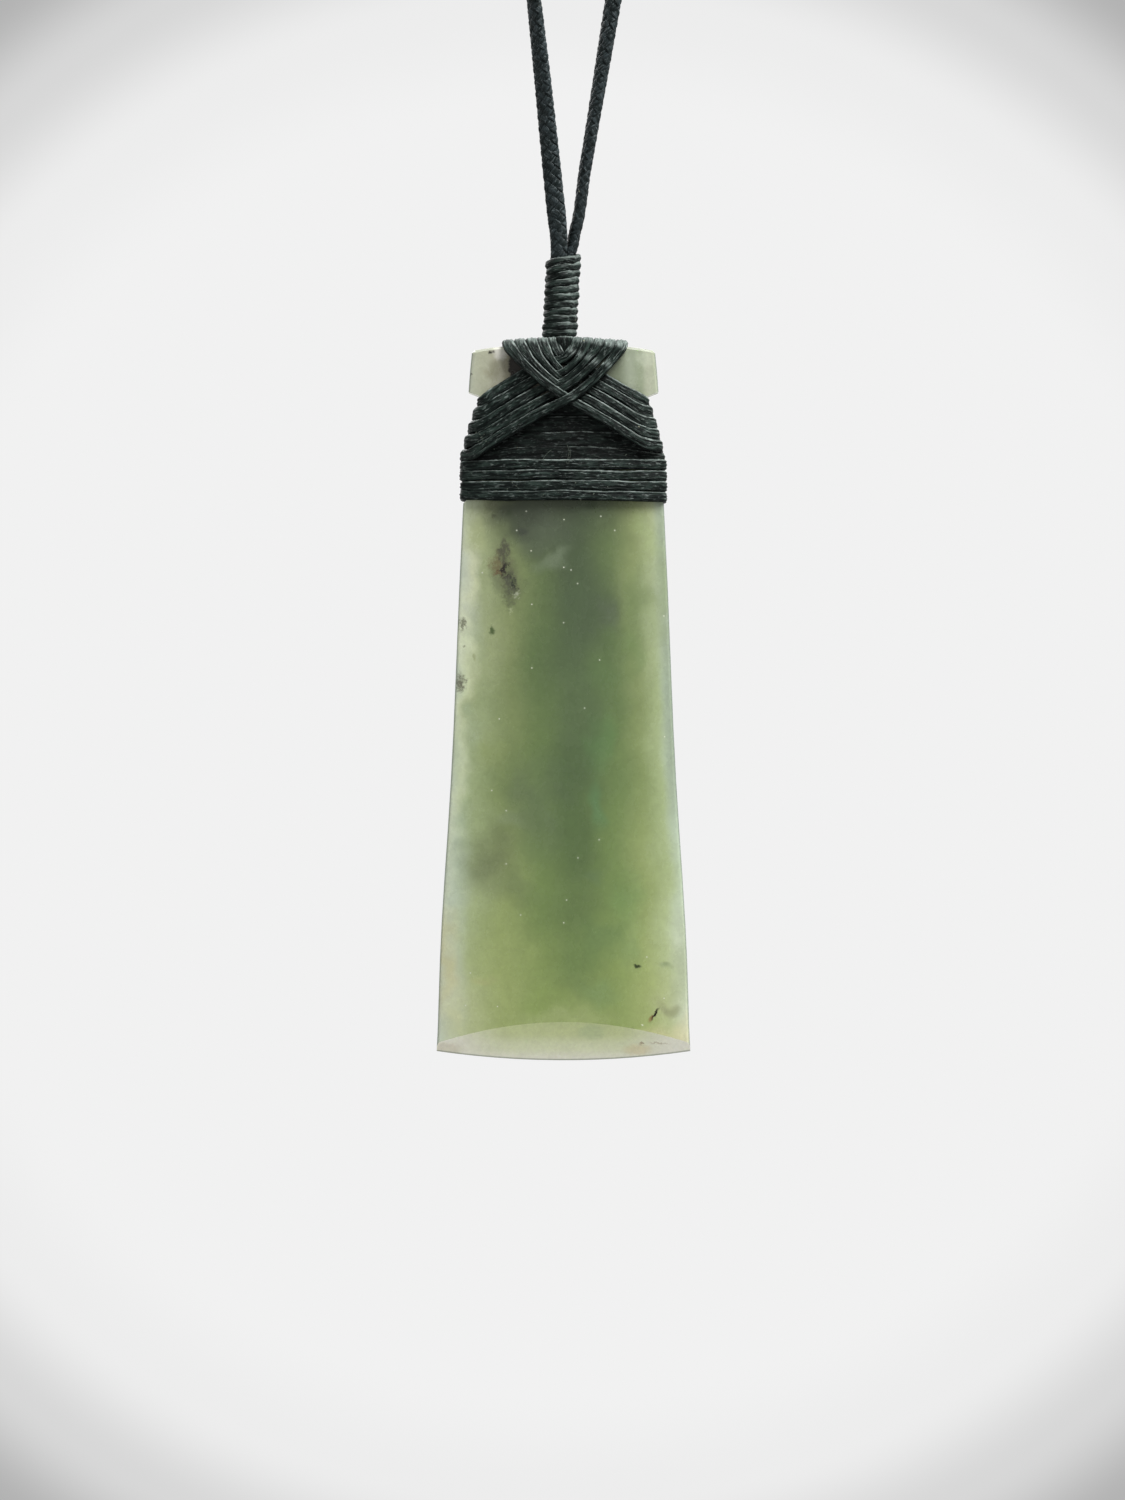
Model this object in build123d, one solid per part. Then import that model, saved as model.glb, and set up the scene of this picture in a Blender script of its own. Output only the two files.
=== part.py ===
from build123d import *
from math import atan2, cos, degrees, pi, radians, sin, tan
import os

os.makedirs("parts", exist_ok=True)

# Toki adze pendant on its neck cord, in millimetres, as it hangs from the nape.
# The origin is where the neck rests, inside the top of the loop. +Z is up and the front faces -Y.

# Stone
stone_length = 71.6       # from the crown of the head to the middle of the cutting edge
edge_width = 25.3         # across the corners of the cutting edge
stone_thickness = 5.6     # at the thickest place
side_thickness = 2.8      # of the narrow sides, at the head
corner_round = 0.4        # where a face meets a narrow side
head_rise = 0.75          # the crown's height over the head's corners
head_width = 18.2         # across the head's upper corners
head_chamfer = 0.22       # along the head's top edges
lug_height = 4.1          # of a lug's outer side
lug_undercut = 0.38       # drop of a lug's underside for each millimetre inwards
neck_width = 14.8         # between the roots of the two notches
notch_end_width = 18.0    # between the notches' lower ends
notch_length = 5.7        # from a notch's root to its lower end
band_width = 19.3         # across the shallow groove under the level turns
band_margin = 0.1         # from the lowest level turn to the groove's end
shoulder_slope = 0.13     # drop of the step between notch and groove per millimetre outwards
edge_bulge = 0.95         # how far the cutting edge curves down below its corners
edge_thickness = 0.5      # of the cutting edge
edge_set_back = 0.35      # from the middle plane to the middle of the cutting edge
bevel_height = 3.98       # of the front bevel, over the middle of the edge
back_bevel_height = 9.0   # of the back's longer bevel

# Share of the stone's length from the crown, then width, thickness and side thickness as shares
# of edge_width, stone_thickness and side_thickness
stone_rows = [
    (0.000, 0.713, 0.80, 1.00),
    (0.068, 0.749, 0.85, 0.98),
    (0.161, 0.775, 0.90, 0.95),
    (0.221, 0.791, 0.93, 0.93),
    (0.441, 0.846, 0.98, 0.88),
    (0.720, 0.930, 0.99, 0.80),
    (0.915, 0.986, 0.87, 0.74),
    (1.005, 1.010, 0.79, 0.70),
]

# Lashing thread
fit_gap = 0.05            # between a thread and what it is bound on
thread_gap = 0.10         # between threads that lie over each other
turn_gap = 0.13           # between neighbouring turns
thread_width = 0.93       # of a level turn, up and down
thread_thickness = 0.60   # of a level turn on the groove
pressed_thickness = 0.32  # of a level turn under the crossing threads
turn_round = 0.26         # on a turn's outer edges
wrap_count = 9
cross_diameter = 0.78     # of a crossing thread
cross_press = 0.20        # by which two crossing threads press into each other
cross_count = 5
cross_first = 0.70        # from the middle to the first thread on the head
cross_pitch = 1.27        # from thread to thread on the head
first_crossing = 0.75     # from the crown down to the uppermost crossing
crossing_pitch = 1.24     # from crossing to crossing
first_anchor = 6.1        # from the crown down to the first thread in the notches
anchor_pitch = 1.2        # from thread to thread in the notches
cross_lift = 0.12         # by which one thread of a pair lies higher at their crossing
leg_reach = 1.6           # from the middle to where a lower leg lies flat again
climb_length = 1.2        # over which a lower leg climbs onto the level turns
cross_bend = 0.85         # largest bend radius of a crossing thread

# Whipping round the two strands of the cord
cord_diameter = 1.5
strand_gap = 0.12         # between the two strands
strand_turn = 62.0        # degrees from side by side towards one behind the other
whip_length = 7.80
whip_turns = 10
whip_thread = 0.56        # thickness of its thread
whip_lean = 0.40          # sideways, from its lower to its upper end

# Neck cord
sleeve_length = 7.6
sleeve_wall = 0.55
sleeve_round = 0.25
whip_top_z = -268.65
cord_end_rise = 0.15      # from the whipping's lower end to the cord's ends
cord_start_rise = 0.9     # from the whipping's upper end to the cord's first bend
bend_share = 0.45         # of the shorter run that a bend takes up
nape_z = cord_diameter / 2 + fit_gap + sleeve_wall

# Route of each half of the cord over the whipping, x, y and z, as chosen points
left_route = [
    (-0.71, -0.30, -264.35),
    (-1.30, -0.05, -258.65),
    (-2.37, 0.00, -248.15),
    (-4.82, 0.00, -226.65),
    (-9.54, 0.00, -190.65),
    (-14.80, 0.00, -154.65),
    (-20.20, 0.00, -119.65),
    (-25.40, 0.00, -86.65),
    (-30.00, 0.00, -56.65),
    (-33.84, 0.00, -23.40),
    (-24.80, 0.00, -7.70),
    (-9.10, 0.00, nape_z),
]
right_route = [
    (1.38, 0.30, -264.35),
    (2.37, 0.05, -258.65),
    (4.12, 0.00, -248.15),
    (7.67, 0.00, -226.65),
    (13.36, 0.00, -190.65),
    (18.72, 0.00, -154.65),
    (23.55, 0.00, -119.65),
    (27.70, 0.00, -86.65),
    (31.10, 0.00, -56.65),
    (33.84, 0.00, -23.40),
    (24.80, 0.00, -7.70),
    (9.10, 0.00, nape_z),
]

# Places that follow from the sizes
whip_bottom_z = whip_top_z - whip_length
crown_z = whip_bottom_z - thread_gap - cross_diameter - fit_gap
lug_corner_depth = head_rise + lug_height
wrap_pitch = thread_width + turn_gap
cross_radius = cross_diameter / 2
outline_margin = 2.0


def stone_row(depth):
    """Width, thickness and side thickness of the unnotched stone at a depth below its crown."""
    share = depth / stone_length
    for upper, lower in zip(stone_rows, stone_rows[1:]):
        if share <= lower[0]:
            break
    part = (share - upper[0]) / (lower[0] - upper[0])
    width, thickness, side = (a + part * (b - a) for a, b in zip(upper[1:], lower[1:]))
    return width * edge_width, thickness * stone_thickness, side * side_thickness


def face_depth(x, depth):
    """Distance of the crowned face from the middle plane."""
    width, thickness, side = stone_row(depth)
    return thickness / 2 - (thickness - side) / 2 * (2 * x / width) ** 2


def crown_drop(x):
    """How far the arched top of the head lies below the crown."""
    return head_rise * (2 * x / head_width) ** 2


def notch_outline():
    """Half widths and depths of the notch and groove, from the lug's corner down."""
    lug_corner = stone_row(lug_corner_depth)[0] / 2
    root_depth = lug_corner_depth + (lug_corner - neck_width / 2) * lug_undercut
    shoulder = (band_width - notch_end_width) / 2
    end_depth = root_depth + notch_length
    band_end = first_wrap_depth() + thread_width / 2 + band_margin
    return [
        (neck_width / 2, root_depth),
        (notch_end_width / 2, end_depth),
        (band_width / 2, end_depth + shoulder * shoulder_slope),
        (band_width / 2, band_end),
    ]


def first_wrap_depth():
    """Depth of the lowest level turn."""
    return first_anchor + wrap_pitch * (wrap_count - 1) + thread_width / 2


def bound_half_width(depth):
    """Half width of the stone in the notch and the groove."""
    rows = notch_outline()
    for (upper_x, upper_depth), (lower_x, lower_depth) in zip(rows, rows[1:]):
        if depth <= lower_depth:
            break
    part = (depth - upper_depth) / (lower_depth - upper_depth)
    return upper_x + part * (lower_x - upper_x)


def lens(half_width, middle, side):
    """Cross-section with two crowned faces and two straight sides."""
    edges = Curve() + [
        ThreePointArc((-half_width, -side), (0, -middle), (half_width, -side)),
        Line((half_width, -side), (half_width, side)),
        ThreePointArc((half_width, side), (0, middle), (-half_width, side)),
        Line((-half_width, side), (-half_width, -side)),
    ]
    return make_face(edges)


def stone_envelope():
    """The stone before its head, notches and edge are cut."""
    sections = []
    for row in stone_rows:
        depth = row[0] * stone_length
        width, thickness, side = stone_row(depth)
        section = lens(width / 2, thickness / 2, side / 2)
        rounded = fillet(section.vertices(), corner_round)
        sections.append(Pos(0, 0, head_rise - depth) * rounded)
    return Pos(0, 0, -head_rise) * loft(sections)


def stone_outline():
    """The stone seen from the front, reaching past its sides where nothing is cut."""
    head_x = head_width / 2 + outline_margin
    blade_x = edge_width / 2 + outline_margin
    lug_corner = stone_row(lug_corner_depth)[0] / 2
    notch = [(x, -depth) for x, depth in notch_outline()]
    under_lug = lug_corner_depth - (head_x - lug_corner) * lug_undercut
    band_x, band_end = notch[-1]
    edge_z = -stone_length + edge_bulge * (2 * blade_x / edge_width) ** 2
    right = [
        (head_x, -crown_drop(head_x)),
        (head_x, -under_lug),
        *notch,
        (blade_x, band_end - (blade_x - band_x)),
        (blade_x, edge_z),
    ]
    left = [(-x, z) for x, z in reversed(right)]
    edges = Curve() + [
        ThreePointArc(left[-1], (0, 0), right[0]),
        Polyline(*right),
        ThreePointArc(right[-1], (0, -stone_length), left[0]),
        Polyline(*left),
    ]
    return Plane.XZ * make_face(edges)


def bevel_cut(side, height, edge_y):
    """What is ground away on one face, side -1 or 1, above the cutting edge."""
    top_depth = stone_length - height
    face_y = side * face_depth(0, top_depth)
    slope = (face_y - edge_y) / height
    reach = height + outline_margin
    clear_y = side * stone_thickness
    points = [
        (edge_y - slope * outline_margin, -stone_length - outline_margin),
        (edge_y + slope * reach, -stone_length + reach),
        (clear_y, -stone_length + reach),
        (clear_y, -stone_length - outline_margin),
    ]
    face = Plane.YZ * make_face(Polyline(*points, close=True))
    return extrude(face, edge_width, both=True)


def toki_blade():
    """The stone, hung in its place below the whipping."""
    stone = stone_envelope() & extrude(stone_outline(), stone_thickness, both=True)
    stone -= bevel_cut(-1, bevel_height, edge_set_back - edge_thickness / 2)
    stone -= bevel_cut(1, back_bevel_height, edge_set_back + edge_thickness / 2)
    crown = stone.faces().sort_by(Axis.Z)[-1]
    stone = chamfer(crown.edges(), head_chamfer)
    return Pos(0, 0, crown_z) * stone


def flat_turn(inner, thickness, height, round_edge):
    """One turn of flattened thread round a section, its outer edges rounded."""
    outer = extrude(offset(inner, thickness), height / 2, both=True)
    outer = fillet(outer.edges().filter_by(Plane.XY), round_edge)
    return outer - extrude(inner, height, both=True)


def lashing_wraps():
    """The level turns, lowest first; the upper ones are pressed under the crossing threads."""
    turns = []
    groove_top = notch_outline()[2][1]
    for index in range(wrap_count):
        depth = first_wrap_depth() - index * wrap_pitch
        lower_edge = depth + thread_width / 2
        half_width = bound_half_width(lower_edge)
        middle = face_depth(0, lower_edge)
        side = face_depth(half_width, depth)
        inner = offset(lens(half_width, middle, side), fit_gap)
        on_groove = depth - thread_width / 2 > groove_top - fit_gap
        thickness = thread_thickness if on_groove else pressed_thickness
        turn = flat_turn(inner, thickness, thread_width, turn_round)
        turns.append(Pos(0, 0, crown_z - depth) * turn)
    return Compound(children=turns)


def cross_path(index, hand):
    """Half of a crossing thread, from the middle of a narrow side up to the middle of the head."""
    head_x = cross_first + index * cross_pitch
    crossing_depth = first_crossing + index * crossing_pitch
    anchor_depth = first_anchor + index * anchor_pitch
    on_stone = fit_gap + cross_radius
    on_wraps = on_stone + pressed_thickness + thread_gap
    over_thread = cross_diameter - cross_press
    climb_start = first_anchor - climb_length
    low_x = bound_half_width(anchor_depth + cross_radius) + on_wraps

    def over_face(x, depth, height):
        return (x, -face_depth(x, depth) - height, -depth)

    def leg_point(x):
        depth = crossing_depth + (anchor_depth - crossing_depth) * x / low_x
        return over_face(-x, depth, on_wraps if depth > climb_start else on_stone)

    corner_y = -face_depth(low_x - on_wraps, anchor_depth) - on_wraps
    head_z = fit_gap + cross_radius - crown_drop(head_x + cross_radius)
    head_y = -face_depth(head_x, 0) - on_stone - over_thread
    crossing_base = on_wraps if crossing_depth > climb_start else on_stone
    crossing_height = crossing_base + over_thread - hand * cross_lift
    points = [
        (-low_x, 0, -anchor_depth),
        (-low_x, corner_y, -anchor_depth),
        leg_point((low_x + leg_reach) / 2),
        leg_point(leg_reach),
        over_face(0, crossing_depth, crossing_height),
        (head_x, head_y, head_z),
        (head_x, 0, head_z),
    ]
    return [(-hand * x, y, z + crown_z) for x, y, z in points]


def bend_radii(points):
    """The largest even bend that the runs beside each inner point leave room for."""
    radii = []
    for before, here, after in zip(points, points[1:], points[2:]):
        arriving = Vector(*here) - Vector(*before)
        leaving = Vector(*after) - Vector(*here)
        half_turn = radians(arriving.get_angle(leaving)) / 2
        radii.append(bend_share * min(arriving.length, leaving.length) / tan(half_turn))
    return radii


def tube(points, diameter, radii):
    """A round bar along straight runs joined by tangent arcs."""
    path = FilletPolyline(*points, radius=radii)
    start = Plane(origin=path @ 0, z_dir=path % 0)
    return sweep(start * Circle(diameter / 2), path=path)


def lashing_cross():
    """The crossing threads, pressed together where they cross, on both faces."""
    threads = []
    for index in range(cross_count):
        for hand in (-1, 1):
            points = cross_path(index, hand)
            radii = [min(radius, cross_bend) for radius in bend_radii(points)]
            half = tube(points, cross_diameter, radii)
            threads.append(half)
            threads.append(mirror(half, about=Plane.XZ))
    bundle = threads[0]
    for thread in threads[1:]:
        bundle += thread
    return bundle


def strand_offset():
    """From the whipping's axis to the right strand's centre."""
    reach = (cord_diameter + strand_gap) / 2
    return reach * cos(radians(strand_turn)), reach * sin(radians(strand_turn))


def whip_axis_x(z):
    """The whipping leans: its axis at a height."""
    return whip_lean * (z - whip_top_z) / whip_length


def cord_whipping():
    """The turns that bind the two strands, from the top."""
    turn_pitch = whip_length / whip_turns
    height = turn_pitch - thread_gap
    slot_height = cord_diameter + 2 * fit_gap
    slot = SlotCenterToCenter(cord_diameter + strand_gap, slot_height)
    inner = Rot(0, 0, strand_turn) * slot
    turns = []
    lean = degrees(atan2(whip_lean, whip_length))
    for index in range(whip_turns):
        z = whip_top_z - (index + 0.5) * turn_pitch
        turn = flat_turn(inner, whip_thread, height, turn_round)
        turns.append(Pos(whip_axis_x(z), 0, z) * Rot(0, lean, 0) * turn)
    return Compound(children=turns)


def neck_cord(side, route):
    """Half of the neck cord, side -1 left or 1 right, from the whipping to the nape."""
    shift_x, shift_y = strand_offset()
    end_z = whip_bottom_z + cord_end_rise
    start_z = whip_top_z + cord_start_rise
    points = [
        (whip_axis_x(end_z) + side * shift_x, side * shift_y, end_z),
        (whip_axis_x(start_z) + side * shift_x, side * shift_y, start_z),
        *route,
        (side * thread_gap / 2, 0, nape_z),
    ]
    radii = bend_radii(points)
    print("cord bends, mm:", [round(radius, 1) for radius in radii])
    cord = tube(points, cord_diameter, radii)
    length = FilletPolyline(*points, radius=radii).length
    section = pi * cord_diameter ** 2 / 4
    print("cord length, mm:", round(length, 1))
    print("volume over section times length:", round(cord.volume / (section * length), 4))
    return cord


def nape_sleeve():
    """The bound sleeve in which the cord's two halves meet."""
    bore = cord_diameter / 2 + fit_gap
    outer = Cylinder(bore + sleeve_wall, sleeve_length)
    outer = fillet(outer.edges().filter_by(GeomType.CIRCLE), sleeve_round)
    sleeve = outer - Cylinder(bore, sleeve_length)
    return Pos(0, 0, nape_z) * Rot(0, 90, 0) * sleeve


export_step(toki_blade(), "parts/toki_blade.step")
export_step(lashing_wraps(), "parts/lashing_wraps.step")
export_step(lashing_cross(), "parts/lashing_cross.step")
export_step(cord_whipping(), "parts/cord_whipping.step")
export_step(neck_cord(-1, left_route), "parts/neck_cord_left.step")
export_step(neck_cord(1, right_route), "parts/neck_cord_right.step")
export_step(nape_sleeve(), "parts/nape_sleeve.step")
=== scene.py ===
from math import cos, pi, radians, sin

import bmesh
import bpy
import numpy as np
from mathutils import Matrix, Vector
from mathutils.bvhtree import BVHTree


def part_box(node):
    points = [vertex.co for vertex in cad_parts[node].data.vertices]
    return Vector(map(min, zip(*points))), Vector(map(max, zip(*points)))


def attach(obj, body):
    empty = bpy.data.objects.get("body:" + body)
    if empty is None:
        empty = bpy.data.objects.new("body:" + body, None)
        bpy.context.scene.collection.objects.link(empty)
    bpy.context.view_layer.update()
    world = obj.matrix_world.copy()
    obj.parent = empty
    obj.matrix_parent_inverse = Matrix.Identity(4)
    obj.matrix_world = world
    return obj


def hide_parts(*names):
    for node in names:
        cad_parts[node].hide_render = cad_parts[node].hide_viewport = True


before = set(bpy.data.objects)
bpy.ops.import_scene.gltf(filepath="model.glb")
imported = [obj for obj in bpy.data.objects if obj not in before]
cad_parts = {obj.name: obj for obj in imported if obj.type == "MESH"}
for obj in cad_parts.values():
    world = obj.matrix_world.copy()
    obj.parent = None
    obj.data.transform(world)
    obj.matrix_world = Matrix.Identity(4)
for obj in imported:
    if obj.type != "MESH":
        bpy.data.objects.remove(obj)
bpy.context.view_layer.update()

# Lengths are in metres. The front faces -Y, and depth is measured down from the stone's crown.
mm = 0.001
stone_low, stone_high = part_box("toki_blade")
crown_z = stone_high.z
whip_low, whip_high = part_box("cord_whipping")
whip_top_z = whip_high.z
whip_bottom_z = whip_low.z
sleeve_low, sleeve_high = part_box("nape_sleeve")

# Picture
picture_height = 150 * mm
lens, sensor = 135, 36
camera_distance = lens / sensor * picture_height
camera_place = (-0.1 * mm, -camera_distance, crown_z - 40.57 * mm)
front_shade = 0.27  # of the paper behind the camera
paper_shade = 0.88  # of the paper behind the pendant
light_target = Vector((0, 0, -0.31))

# Neck cord: the route's points are those of the CAD source
cord_diameter = 1.5 * mm
strand_gap = 0.12 * mm
strand_turn = radians(62.0)
whip_lean = 0.4 * mm
whip_length = 7.8 * mm
cord_end_rise = 0.15 * mm
cord_start_rise = 0.9 * mm
nape_z = 1.35 * mm
half_gap = 0.05 * mm
left_route = [
    (-0.71, -0.3, -264.35), (-1.3, -0.05, -258.65), (-2.37, 0, -248.15), (-4.82, 0, -226.65),
    (-9.54, 0, -190.65), (-14.8, 0, -154.65), (-20.2, 0, -119.65), (-25.4, 0, -86.65), (-30, 0, -56.65),
    (-33.84, 0, -23.4), (-24.8, 0, -7.7),
]
right_route = [
    (1.38, 0.3, -264.35), (2.37, 0.05, -258.65), (4.12, 0, -248.15), (7.67, 0, -226.65),
    (13.36, 0, -190.65), (18.72, 0, -154.65), (23.55, 0, -119.65), (27.7, 0, -86.65), (31.1, 0, -56.65),
    (33.84, 0, -23.4), (24.8, 0, -7.7),
]
nape_x = 9.1 * mm
plait_half_width = 0.94 * mm
plait_half_depth = 0.6 * mm
mouth_half_width = 0.8 * mm  # where the plait goes into the whipping
mouth_spread = 0.26 * mm  # of the right half over the whipping
plait_pitch = 4.8 * mm  # one turn of a strand
plait_rise = 0.08 * mm  # of a strand where it passes over another
plait_strands = 4  # in each direction
plait_width = 0.9 * mm
plait_thickness = 0.34 * mm
near_step = 0.13 * mm  # between samples where the picture shows the cord
far_step = 0.3 * mm
near_top_z = -235 * mm
flat_turn_rate = radians(2.1) / mm
mouth_heights = (0.4, 4.6)  # over the whipping, in mm, between which the plait widens
spread_heights = (0.0, 1.4)  # over the whipping, in mm, between which the right half moves out
close_heights = (9.0, 3.0)  # and between which it is back
core_share = 0.75  # of the plait's width, for the core that its strands hide

# Lashing thread
fit_gap = 0.05 * mm
thread_thickness = 0.58 * mm
pressed_thickness = 0.34 * mm
thread_step = 0.2 * mm
leg_width = {"left": 1.1 * mm, "right": 0.98 * mm}
head_width = 1.24 * mm
head_shift = 0.15 * mm  # of the threads on the head, to the right
groove_depth = 0.065 * mm  # of the furrows along a thread
map_step = np.array([41.3, 6.7])  # between the tubes' maps, so that no two look alike
lashing_around = 28  # points round a thread of the lashing
row_lift = 0.1 * mm  # of each pair of crossing threads over the pair inside it

# Level turns, lowest first: depth, width, rise of the middle of the front over its ends
wrap_rows = [
    (15.25, 1.04, 0.02), (14.27, 1.03, 0.04), (13.23, 1.05, 0.05), (12.18, 1.06, 0.04),
    (11.72, 1.64, 0.67), (10.02, 1.66, 0.36), (8.42, 1.6, 0.3), (7.05, 1.2, 0.3), (6.1, 0.9, 0.15),
]
pressed_from = 4  # the turn from which the crossing threads press the turns flat
# Painted shadow of the crossing threads: a factor on the colour of the pressed turns
pressed_painted_shadow = 0.42
# Painted shade: a factor that makes the whipping's thread darker
whip_painted_shade = 0.8
# Painted shade: the crossing threads of hand -1 are made darker
leg_painted_shade = {1: 1.0, -1: 0.92}  # by the hand of a crossing thread
# Painted shade: the thread that fills the middle of the head is made darker
plug_painted_shade = 0.6  # of the thread that fills the middle of the head
plug_width = 1.7 * mm
plug_points = 14
wrap_top_depth = 5.6 * mm

# Crossing threads, innermost pair first: depth at the left and the right side, depth and place
# of the crossing, place on the head, width at the crossing
cross_rows = [
    (4.8, 5.08, 1.75, 0, 1.2, 0.94), (6.22, 6.27, 3.1, 0, 2.29, 0.74), (7.72, 7.53, 3.95, 0, 3.37, 0.7),
    (9.16, 8.76, 4.65, 0, 4.53, 0.76), (10.5, 10, 5.72, 0.55, 5.66, 0.96),
]
knee_x = 2.3 * mm  # of a lower leg, before it dips under the upper legs
leg_slope = 0.6  # of the lower legs
corner_x = 0.8 * mm  # from the side, where a thread starts to turn round it
edge_share = 0.55  # of a thread's rise round the side, below the corner
bend_share = np.array([0.62, 0.41])  # of the way from the crossing to the head, across and up
climb_places = {1: (-1.7, -0.5), -1: (-0.1, 0.9)}  # from the crossing, in mm, by hand
# Where each thread turns round the side: depth, place across, lift over the stone
side_turns = {
    "left": ((6.2, 8.31, 0.77), (7.5, 8.78, 0.88), (8.82, 9.26, 0.96), (10.12, 9.66, 0.98),
             (11.5, 10, 0.36)),
    "right": ((6.05, 8.21, 0.71), (7.25, 8.66, 0.81), (8.4, 9.05, 0.86), (9.4, 9.32, 0.84),
              (10.45, 9.66, 0.86)),
}
side_width = 1.24 * mm

# Whipping
whip_turns = 10
whip_thread = 0.6 * mm
whip_step = 0.15 * mm
whip_end_z = whip_bottom_z - 0.62 * mm


def unit(rows):
    """Each row scaled to a length of one."""
    return rows / np.maximum(np.linalg.norm(rows, axis=-1, keepdims=True), 1e-12)


def smoothstep(low, high, value):
    """0 at low and 1 at high, with a smooth change between them."""
    share = np.clip((value - low) / (high - low), 0, 1)
    return share * share * (3 - 2 * share)


def distances(points, closed=False):
    """How far along the line each point lies; a closed line ends with its whole length."""
    rows = np.vstack([points, points[:1]]) if closed else points
    return np.concatenate([[0], np.cumsum(np.linalg.norm(np.diff(rows, axis=0), axis=1))])


def read_at(places, along, rows):
    """Rows of numbers that lie along a line, read at places on it."""
    return np.stack([np.interp(places, along, column) for column in rows.T], 1)


def resampled(points, step, closed=False, *others):
    """The line, and values that go with its points, at even steps."""
    along = distances(points, closed)
    count = max(int(round(along[-1] / step)), 4)
    places = np.linspace(0, along[-1], count + 1)
    if closed:
        places = places[:-1]
    found = []
    for rows in (points, *others):
        rows = np.asarray(rows, float)
        flat = rows.reshape(len(rows), -1)
        if closed:
            flat = np.vstack([flat, flat[:1]])
        found.append(read_at(places, along, flat).reshape(len(places), *rows.shape[1:]))
    return found if others else found[0]


def toward(start, goal, share):
    """From start, a share of the way to goal."""
    return start + (goal - start) * share


def facing(side, count):
    """Directions to the back, side 1, or to the front, side -1."""
    return np.tile([0.0, side, 0.0], (count, 1))


def eased(rows, passes, closed=False):
    """Rows of numbers smoothed along the line, with the ends of an open line kept."""
    for _ in range(passes):
        middle = (np.roll(rows, 1, 0) + 2 * rows + np.roll(rows, -1, 0)) / 4
        if not closed:
            middle[0], middle[-1] = rows[0], rows[-1]
        rows = middle
    return rows


def wobble(along, length, rng, total=None):
    """Slow uneven waves along a line, from -1 to 1; with the line's total they close."""
    value = np.zeros(len(along))
    for share in (1.0, 0.57, 0.31):
        wave = length * share
        if total:
            wave = total / max(round(total / wave), 1)
        value += share * np.sin(2 * pi * along / wave + rng.uniform(0, 2 * pi))
    return value / 1.88


def added(name, data):
    """A new object in the scene."""
    made = bpy.data.objects.new(name, data)
    bpy.context.scene.collection.objects.link(made)
    return made


class Parts:
    """Tubes gathered into one mesh, with a map that runs along and around each tube."""

    def __init__(self):
        self.vertices, self.faces, self.maps, self.marks = [], [], [], {"crest": [], "shade": []}
        self.count = self.tubes = 0

    def tube(self, rings, closed=False, shade=1.0):
        rows, columns, _ = rings.shape
        along = distances(rings.mean(1), closed)
        across = np.linalg.norm(np.diff(rings[0], axis=0), axis=1).sum() / columns
        i, j = np.meshgrid(np.arange(rows if closed else rows - 1), np.arange(columns), indexing="ij")
        i, j = i[..., None] + [0, 0, 1, 1], j[..., None] + [0, 1, 1, 0]
        self.faces += ((i % rows * columns + j % columns).reshape(-1, 4) + self.count).tolist()
        corners = np.stack([along[i], j * across], -1)
        self.tubes += 1
        self.maps += (corners.reshape(-1, 2) / mm + self.tubes * map_step).tolist()
        if not closed:
            for row in (0, rows - 1):
                self.faces.append([self.count + row * columns + k for k in range(columns)])
                self.maps += [[0.0, 0.0]] * columns
        self.vertices += rings.reshape(-1, 3).tolist()
        crest = np.sin(2 * pi * (np.arange(columns) + 0.5) / columns)
        self.marks["crest"] += np.tile(crest, rows).tolist()
        self.marks["shade"] += [shade] * (rows * columns)
        self.count += rows * columns

    def thread(self, line, size, rng, around, furrows=3, shade=1.0, closed=False, groove=groove_depth):
        """A flat thread on a line of points and outward directions, of a width and a thickness."""
        self.tube(flat_rings(*line, *size, rng, closed, around, furrows, groove), closed, shade)

    def piece(self, name, material, node):
        mesh = bpy.data.meshes.new(name)
        mesh.from_pydata(self.vertices, [], self.faces)
        layer = mesh.uv_layers.new(name="fibre")
        layer.uv.foreach_set("vector", np.array(self.maps, np.float32).ravel())
        for attribute, values in self.marks.items():
            made = mesh.attributes.new(attribute, "FLOAT", "POINT")
            made.data.foreach_set("value", np.array(values, np.float32))
        whole = bmesh.new()
        whole.from_mesh(mesh)
        bmesh.ops.recalc_face_normals(whole, faces=whole.faces)
        whole.to_mesh(mesh)
        whole.free()
        mesh.shade_smooth()
        mesh.materials.append(material)
        made = added(name, mesh)
        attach(made, "root")
        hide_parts(node)


def flat_rings(points, outward, width, thickness, rng, closed, around, furrows, groove):
    """Rings of a flattened thread whose outer side is furrowed by its plies."""
    if closed:
        ahead = np.roll(points, -1, 0) - np.roll(points, 1, 0)
    else:
        ahead = np.gradient(points, axis=0)
    ahead = unit(ahead)
    across = unit(np.cross(ahead, outward))
    outward = np.cross(across, ahead)
    along = distances(points, closed)
    total = along[-1] if closed else None
    along = along[: len(points)]
    width = width * (1 + 0.045 * wobble(along, 7 * mm, rng, total))
    thickness = thickness * (1 + 0.07 * wobble(along, 4 * mm, rng, total))
    angles = 2 * pi * (np.arange(around) + 0.5) / around
    side = np.sign(np.cos(angles)) * np.abs(np.cos(angles)) ** 0.85
    up = np.sign(np.sin(angles)) * np.abs(np.sin(angles)) ** 0.92
    phase = 1.6 * wobble(along, 9 * mm, rng, total)
    wave = np.cos(pi * furrows * side + phase[:, None])
    relief = groove * wave * np.clip(up, 0, 1) if furrows else 0
    rings = points[:, None] + across[:, None] * (width[:, None] / 2 * side)[..., None]
    return rings + outward[:, None] * (thickness[:, None] / 2 * up + relief)[..., None]


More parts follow.
